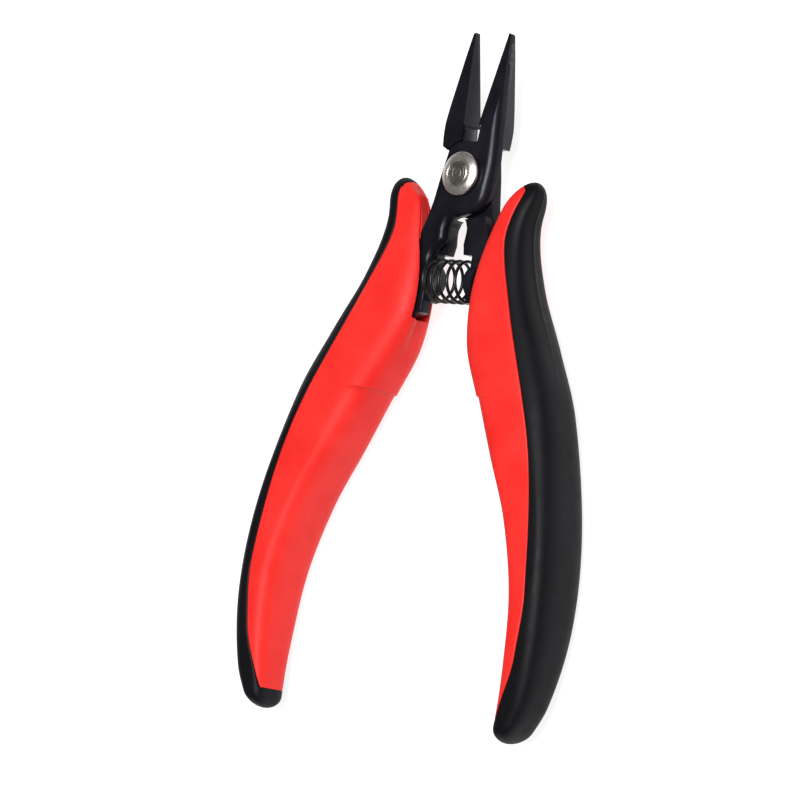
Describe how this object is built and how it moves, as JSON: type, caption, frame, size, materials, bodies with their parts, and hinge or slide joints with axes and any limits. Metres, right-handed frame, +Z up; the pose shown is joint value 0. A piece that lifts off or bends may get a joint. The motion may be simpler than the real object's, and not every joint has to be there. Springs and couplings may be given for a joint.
{
  "type": "flat nose pliers",
  "caption": "Small flat nose pliers with a lap joint, slim tapered jaws, a return spring and curved two-part grips, lying flat and open.",
  "frame": {"origin": "centre of the overall box's bottom face: the surface that the pliers lie on, midway between the grips and midway from foot to tips", "axes": "+Y towards the jaw tips, along the length; +Z up, along the rivet, out of its head; +X to the right seen from above"},
  "size_m": [0.085, 0.1446, 0.0144],
  "materials": {
    "black_steel": "black oxide, satin",
    "nickel": "turned, nickel plated",
    "spring_steel": "black spring steel",
    "red_plastic": "satin, lightly scuffed",
    "black_rubber": "soft matte"
  },
  "bodies": {
    "back_half": {"back_arm": "black_steel", "pivot_rivet": "nickel", "rivet_collar": "nickel", "right_grip_body": "red_plastic", "right_grip_cushion": "black_rubber", "return_spring": "spring_steel"},
    "front_half": {"front_arm": "black_steel", "left_grip_body": "red_plastic", "left_grip_cushion": "black_rubber"}
  },
  "joints": [
    {"name": "pivot", "type": "hinge", "parent": "back_half", "child": "front_half", "pos_m": [0, 0.04197, 0.0072], "axis": [0, 0, 1], "range_deg": [0, 16.8], "stiffness_Nm_per_rad": 0.8, "springref_deg": -5.73, "deforming": ["return_spring"]}
  ]
}
